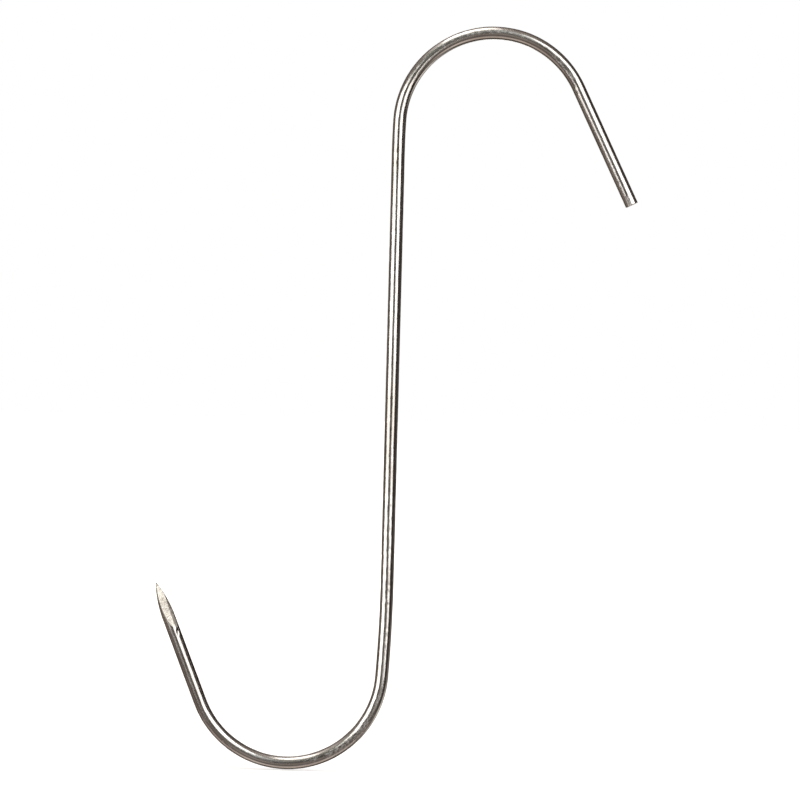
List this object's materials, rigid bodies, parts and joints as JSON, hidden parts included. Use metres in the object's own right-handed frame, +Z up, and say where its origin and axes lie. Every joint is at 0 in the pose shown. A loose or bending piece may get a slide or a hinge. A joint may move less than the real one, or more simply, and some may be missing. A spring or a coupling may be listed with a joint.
{
  "type": "meat hook",
  "caption": "S-shaped hanging hook of round stainless bar: blunt upper arm to hang over a rail, long shank, lower bend with a ground point for meat.",
  "frame": {"origin": "crown of the inner surface of the upper bend, where the rail bears", "axes": "+Z up along the straight shank, towards the upper bend; +X towards the blunt upper arm, so the point is on the -X side; Y across the bar, square to the plane of the S"},
  "size_m": [0.1811, 0.005, 0.2871],
  "materials": {
    "bright_stainless": "bright drawn round bar with fine lengthwise draw lines, small scuffs on the bends",
    "ground_stainless": "belt-ground point, satin with short cross scratches"
  },
  "bodies": {
    "root": {"upper_arm": "bright_stainless", "upper_bend": "bright_stainless", "shank": "bright_stainless", "lower_bend": "bright_stainless", "point_arm": "bright_stainless", "ground_point": "ground_stainless"}
  },
  "joints": []
}
